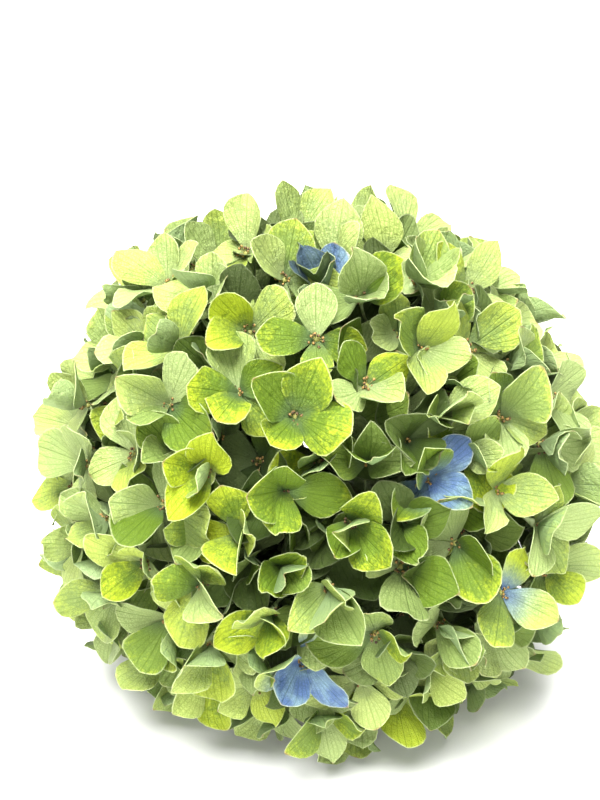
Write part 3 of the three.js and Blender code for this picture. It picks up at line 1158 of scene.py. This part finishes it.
@dataclass
class CentreShape:
    """One true flower: a domed bud ringed by stamens, in a mesh that is copied to each floret."""

    bud_radius: float = 1.2 * MM
    stamens: int = 9
    stamen_length: float = 2.7 * MM
    anther_radius: float = 0.52 * MM

    def __post_init__(self) -> None:
        """Makes the mesh, with the bud's tone at 0 and the anthers' at 1."""
        bm = bmesh.new()
        tone = bm.verts.layers.float_vector.new("tone")
        dome = Matrix.Translation((0, 0, 0.55 * MM)) @ Matrix.Diagonal((1, 1, 0.85, 1))
        bmesh.ops.create_icosphere(bm, subdivisions=1, radius=self.bud_radius, matrix=dome)
        for i in range(self.stamens):
            turn = 2 * math.pi * i / self.stamens + 0.3 * vary(i, 30)
            lean = math.radians(38 + 22 * vary(i, 31))
            length = self.stamen_length * (1 + 0.25 * vary(i, 32))
            stand = Matrix.Rotation(turn, 4, "Z") @ Matrix.Rotation(lean, 4, "Y")
            place = stand @ Matrix.Translation((0, 0, length))
            made = bmesh.ops.create_icosphere(bm, subdivisions=1, radius=self.anther_radius, matrix=place)
            for vert in made["verts"]:
                vert[tone] = (1, 0, 0)
            stalk = stand @ Matrix.Translation((0, 0, length / 2))
            made = bmesh.ops.create_cone(
                bm,
                cap_ends=True,
                segments=3,
                radius1=0.14 * MM,
                radius2=0.1 * MM,
                depth=length,
                matrix=stalk,
            )
            for vert in made["verts"]:
                vert[tone] = (0.35, 0, 0)
        smooth_faces(bm)
        self.mesh = bpy.data.meshes.new("floret centre shape")
        bm.to_mesh(self.mesh)
        bm.free()


@dataclass
class FloretCentres:
    """The centres of all the florets that one ray carries, in one piece."""

    head: FlowerHead
    shape: CentreShape
    ray: int
    lowest: float = 0.1 * MM

    def build(self, finish: Material) -> Object:
        """Makes the piece from copies of the one shape."""
        bm = bmesh.new()
        florets = [f for f in self.head.florets if self.head.ray_of(f.cyme) == self.ray]
        for floret in florets:
            first = len(bm.verts)
            bm.from_mesh(self.shape.mesh)
            bm.verts.ensure_lookup_table()
            copied = bm.verts[first:]
            centre = self.head.globe.press(floret.centre)
            size = 1 + 0.15 * vary(floret.number, 33)
            spin = Matrix.Rotation(math.pi * vary(floret.number, 34), 3, "Z")
            place = (Matrix(floret.place.tolist()) @ spin * size).to_4x4()
            place.translation = Vector(centre)
            bmesh.ops.transform(bm, matrix=place, verts=copied)
        for vert in bm.verts:
            vert.co.z = max(vert.co.z, self.lowest)
        return to_object(f"floret_centres_{self.ray + 1:02d}", bm, finish)


# ---- Stalks ----


@dataclass
class CymeStalks:
    """The branch of one cyme with the pedicels of its florets."""

    head: FlowerHead
    number: int
    branch_radius: float = 1.15 * MM
    pedicel_radius: float = 0.5 * MM
    collar_radius: float = 1.3 * MM
    collar_drop: float = 0.4 * MM
    pedicel_bend: float = 0.45
    wander: float = 1.2 * MM

    def build(self, finish: Material) -> Object:
        """Makes the piece and dresses it."""
        bm = bmesh.new()
        globe = self.head.globe
        node = self.head.cyme_nodes[self.number]
        ray_node = self.head.ray_nodes[self.head.ray_of(self.number)]
        along = unit(node - ray_node)
        foot = ray_node + along * (KNUCKLE_RADIUS + CLEARANCE)
        end = globe.press(node)
        aside = np.array([vary(self.number, k) for k in (40, 41, 42)])
        middle = (foot + end) / 2 + self.wander * aside
        line = bent_line(foot, middle, end, 7)
        radii = [self.branch_radius * r for r in (1.25, 1.05, 1.0, 1.0, 1.0, 1.12, 1.45)]
        add_stalk(bm, line, radii, 8)
        for floret in self.head.of_cyme(self.number):
            self._pedicel(bm, floret, node)
        smooth_faces(bm)
        return to_object(f"cyme_{self.number + 1:02d}_stalks", bm, finish)

    def _pedicel(self, bm: BMesh, floret: Floret, node: np.ndarray) -> None:
        """Adds one pedicel, which widens to a small collar under its floret."""
        top = floret.centre - self.collar_drop * floret.facing
        reach = float(np.linalg.norm(top - node))
        bend = top - floret.facing * reach * self.pedicel_bend
        line = self.head.globe.press(np.array(bent_line(node, bend, top, 6)))
        radii = [self.pedicel_radius * r for r in (1.3, 1.0, 0.95, 1.0, 1.15)]
        add_stalk(bm, list(line), [*radii, self.collar_radius], 6)


@dataclass
class Ray:
    """One ray of the head, from the hub to the knuckle that its branches spring from."""

    head: FlowerHead
    number: int
    radius: float = 1.8 * MM
    bump_share: float = 0.10
    bump_scale: float = 420

    def build(self, finish: Material) -> Object:
        """Makes the piece and dresses it."""
        bm = bmesh.new()
        hub = self.head.globe.hub
        node = self.head.ray_nodes[self.number]
        along = unit(node - hub)
        foot = hub + along * (self.head.globe.hub_radius + CLEARANCE)
        line = bent_line(foot, (foot + node) / 2, node, 9)
        flare = (1.25, 1.06, 1.0, 0.97, 0.95, 0.96, 1.0, 1.1, 1.2)
        add_stalk(bm, line, [self.radius * r for r in flare], 12)
        made = bmesh.ops.create_icosphere(
            bm, subdivisions=3, radius=KNUCKLE_RADIUS, matrix=Matrix.Translation(node)
        )
        for vert in made["verts"]:
            away = vert.co - Vector(node)
            vert.co += away * self.bump_share * noise.noise(vert.co * self.bump_scale)
        smooth_faces(bm)
        return to_object(f"ray_{self.number + 1:02d}_stalk", bm, finish)


@dataclass
class MainStem:
    """The woody stem with its hub, two leaf nodes with scars and buds, and the slanting cut."""

    globe: Globe
    length: float = 205 * MM
    radius: float = 4.5 * MM
    top_radius: float = 3.8 * MM
    bow: float = 0.45
    leaf_nodes: tuple[float, float] = (0.38, 0.83)
    node_swell: float = 1.1 * MM
    node_spread: float = 6 * MM
    cut_slant: float = 22
    hub_dent: float = 0.05
    hub_scale: float = 260
    fine_ridge: float = 0.16
    broad_ridge: float = 0.22
    scar_radius: float = 2.3 * MM
    scar_rise: float = 0.95 * MM
    bud_radius: float = 1.0 * MM
    rings: int = 96
    sides: int = 20

    def __post_init__(self) -> None:
        """Finds the line of the stem, from the hub to the cut end on the table."""
        hub = self.globe.hub
        drop = hub[2] - self.radius
        self.end = hub + np.array([0, math.sqrt(self.length**2 - drop**2), -drop])
        bend = hub - self.globe.front * self.bow * self.length
        self.line = bent_line(hub, bend, self.end, self.rings)
        self.along = unit(self.line[-1] - self.line[-2])

    def radius_at(self, share: float) -> float:
        """The stem's radius at a share of its length, with the swellings at its leaf nodes."""
        swell = 0.0
        for node in self.leaf_nodes:
            away = (share - node) * self.length / self.node_spread
            swell += self.node_swell * math.exp(-away * away)
        return self.top_radius + share * (self.radius - self.top_radius) + swell

    def build(self, bark: Material, cut: Material) -> Object:
        """Makes the stem.

        Args:
            bark: The finish of its skin.
            cut: The finish of its cut face.

        Returns:
            The piece.
        """
        bm = bmesh.new()
        shares = np.linspace(0, 1, self.rings)
        extra = self.along * self.radius * 0.6
        radii = [self.radius_at(share) for share in shares]
        add_stalk(bm, [*self.line, self.end + extra], [*radii, radii[-1]], self.sides)
        self._groove(bm)
        slant = math.tan(math.radians(self.cut_slant))
        normal = Vector(self.along) - Vector((slant, 0, 0))
        made = bmesh.ops.bisect_plane(
            bm,
            geom=bm.verts[:] + bm.edges[:] + bm.faces[:],
            plane_co=Vector(self.end),
            plane_no=normal.normalized(),
            clear_outer=True,
        )
        rim = only(BMEdge, made["geom_cut"])
        cap = bmesh.ops.edgeloop_fill(bm, edges=rim)["faces"]
        bmesh.ops.recalc_face_normals(bm, faces=bm.faces[:])
        smooth_faces(bm)
        for face in cap:
            face.smooth = False
            face.material_index = 1
        for edge in rim:
            edge.smooth = False
        hub = Matrix.Translation(self.globe.hub)
        made = bmesh.ops.create_icosphere(bm, subdivisions=3, radius=self.globe.hub_radius, matrix=hub)
        for vert in made["verts"]:
            away = vert.co - Vector(self.globe.hub)
            vert.co -= away * self.hub_dent * (1 + noise.noise(vert.co * self.hub_scale))
            for face in vert.link_faces:
                face.smooth = True
        return to_object("main_stem_bark", bm, bark, cut)

    def _groove(self, bm: BMesh) -> None:
        """Roughens the bark with shallow ridges that run along it."""
        bm.normal_update()
        for vert in bm.verts:
            fine = Vector((vert.co.x * 700, vert.co.y * 60, vert.co.z * 700))
            broad = Vector((vert.co.x * 160, vert.co.y * 40, vert.co.z * 160))
            inwards = self.fine_ridge * (1 + noise.noise(fine))
            inwards += self.broad_ridge * (1 + noise.noise(broad))
            vert.co -= vert.normal * inwards * 0.5 * MM

    def build_scars(self, finish: Material) -> Object:
        """Makes the leaf scars and the small buds above them, two at each leaf node."""
        bm = bmesh.new()
        for order, share in enumerate(self.leaf_nodes):
            at = min(int(share * (self.rings - 1)), self.rings - 2)
            point = self.line[at]
            along = Vector(unit(self.line[at + 1] - point))
            across = Vector((1, 0, 0)) if order % 2 == 0 else along.cross(Vector((1, 0, 0)))
            for side in (1, -1):
                self._scar(bm, Vector(point), along, across * side, self.radius_at(share))
        smooth_faces(bm)
        return to_object("leaf_scars_and_buds", bm, finish)

    def _scar(self, bm: BMesh, point: Vector, along: Vector, out: Vector, radius: float) -> None:
        """Adds one shield-shaped leaf scar and the bud that sits above it."""
        width = out.cross(along)
        axes = Matrix((width, along, out)).transposed().to_4x4()
        axes.translation = point + out * (radius - 0.75 * MM) + along * 1.4 * MM
        shield = axes @ Matrix.Diagonal((1, 0.6, 1, 1))
        made = bmesh.ops.create_circle(
            bm, cap_ends=True, segments=16, radius=self.scar_radius, matrix=shield
        )
        raised, top = extruded(bm, made["verts"][0].link_faces[0])
        bmesh.ops.translate(bm, verts=raised, vec=out * self.scar_rise)
        bmesh.ops.inset_region(bm, faces=[top], thickness=0.35 * MM, depth=-0.25 * MM)
        bud = axes.copy()
        bud.translation = point + out * (radius + 0.1 * MM) - along * 1.9 * MM
        tilt = Matrix.Rotation(math.radians(-20), 4, "X")
        bmesh.ops.create_uvsphere(
            bm, u_segments=10, v_segments=8, radius=self.bud_radius,
            matrix=bud @ tilt @ Matrix.Diagonal((1.0, 1.9, 0.85, 1)),
        )
        bmesh.ops.recalc_face_normals(bm, faces=bm.faces[:])


# ---- Studio ----


def look_at(piece: Object, target: Vector) -> None:
    """Turns a light or a camera to a point."""
    piece.rotation_euler = (target - piece.location).to_track_quat("-Z", "Y").to_euler()


@dataclass(frozen=True)
class SoftBox:
    """One square soft light."""

    name: str
    place: tuple[float, float, float]
    size: float
    power: float

    def build(self, target: Vector) -> Object:
        """Makes the light and turns it to the target."""
        data = bpy.data.lights.new(self.name, "AREA")
        data.size = self.size
        data.energy = self.power
        light = linked(self.name, data)
        light.location = self.place
        look_at(light, target)
        return light


@dataclass
class Studio:
    """The table, the lights and the camera."""

    globe: Globe
    view_elevation: float = 30
    distance: float = 0.476
    focal_length: float = 62.4
    frame_up: float = 0.0262
    frame_left: float = 0.0082
    world_strength: float = 0.355
    table_half: float = 6
    curve_steps: int = 8
    curve_step: float = 0.6

    def build(self) -> None:
        """Builds the whole studio."""
        self._table()
        self._world()
        centre = Vector(self.globe.centre)
        boxes = (
            SoftBox("key light", (-0.12, -0.55, 1.20), 0.75, 48.0),
            SoftBox("low light", (0.10, -1.30, 0.40), 1.0, 9.0),
            SoftBox("wall light", (0.0, 1.6, 2.6), 2.0, 171.0),
        )
        for box in boxes:
            box.build(centre)
        self._camera(centre)

    def _table(self) -> None:
        """Makes a wide table that curves up far behind the flower."""
        bm = bmesh.new()
        bmesh.ops.create_grid(bm, x_segments=1, y_segments=1, size=self.table_half)
        far = [edge for edge in bm.edges if all(v.co.y > 0 for v in edge.verts)]
        for i in range(self.curve_steps):
            made = bmesh.ops.extrude_edge_only(bm, edges=far)["geom"]
            lift = math.radians(90) * (i + 1) / self.curve_steps
            step = Vector((0, self.curve_step * math.cos(lift), self.curve_step * math.sin(lift)))
            bmesh.ops.translate(bm, verts=only(BMVert, made), vec=step)
            far = only(BMEdge, made)
        smooth_faces(bm)
        table = to_object("table", bm, TableFinish().build())

    def _world(self) -> None:
        """Lights the scene evenly from all round."""
        world = bpy.data.worlds.new("soft white")
        world.use_nodes = True
        background = world.node_tree.nodes["Background"]
        background.inputs["Color"].default_value = (1, 1, 1, 1)
        background.inputs["Strength"].default_value = self.world_strength
        bpy.context.scene.world = world
        bpy.context.scene.view_settings.view_transform = "Standard"

    def _camera(self, centre: Vector) -> None:
        """Places the camera in front of the globe, a little above its axis."""
        lift = math.radians(self.view_elevation)
        back = Vector((0, -math.cos(lift), math.sin(lift)))
        up = Vector((0, math.sin(lift), math.cos(lift)))
        data = bpy.data.cameras.new("camera")
        data.lens = self.focal_length
        data.sensor_width = 36
        camera = linked("camera", data)
        camera.location = centre + back * self.distance
        look_at(camera, centre + up * self.frame_up - Vector((self.frame_left, 0, 0)))
        bpy.context.scene.camera = camera


# ---- Assembly ----


def settle(piece: Object, slot: str, *nodes: str) -> None:
    """Rides a piece on the flower's one body and hides the solids that it stands for.

    Args:
        piece: The piece.
        slot: Not used.
        nodes: The solids that it replaces.
    """
    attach(piece, "root")
    if nodes:
        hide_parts(*nodes)
    LOG.info("%s: %d faces", piece.name, len(piece.data.polygons))


def main() -> None:
    """Builds the flower, piece by piece, and the studio round it."""
    logging.basicConfig(level=logging.INFO, format="%(name)s: %(message)s")
    globe = Globe()
    Studio(globe).build()
    head = FlowerHead(globe)
    arrangement = Arrangement(head)
    sheet = SepalSheet()
    sepal_finish = SepalFinish().build()
    stalk_finish = StalkFinish().build()
    for number in range(head.cyme_count):
        node = f"cyme_{number + 1:02d}"
        settle(Cyme(head, arrangement, sheet, number).build(sepal_finish), "sepals", node)
        settle(CymeStalks(head, number).build(stalk_finish), "stalks")
    centre_finish = CentreFinish().build()
    shape = CentreShape()
    for ray in range(head.ray_count):
        settle(FloretCentres(head, shape, ray).build(centre_finish), "stalks")
        settle(Ray(head, ray).build(stalk_finish), "stalks", f"ray_{ray + 1:02d}")
    stem = MainStem(globe)
    bark = BarkFinish().build(float(globe.hub[1]), float(stem.end[1]))
    cut = CutFinish().build(stem.end)
    settle(stem.build(bark, cut), "stem", "main_stem")
    settle(stem.build_scars(bark), "stem")


if __name__ == "__main__":
    main()
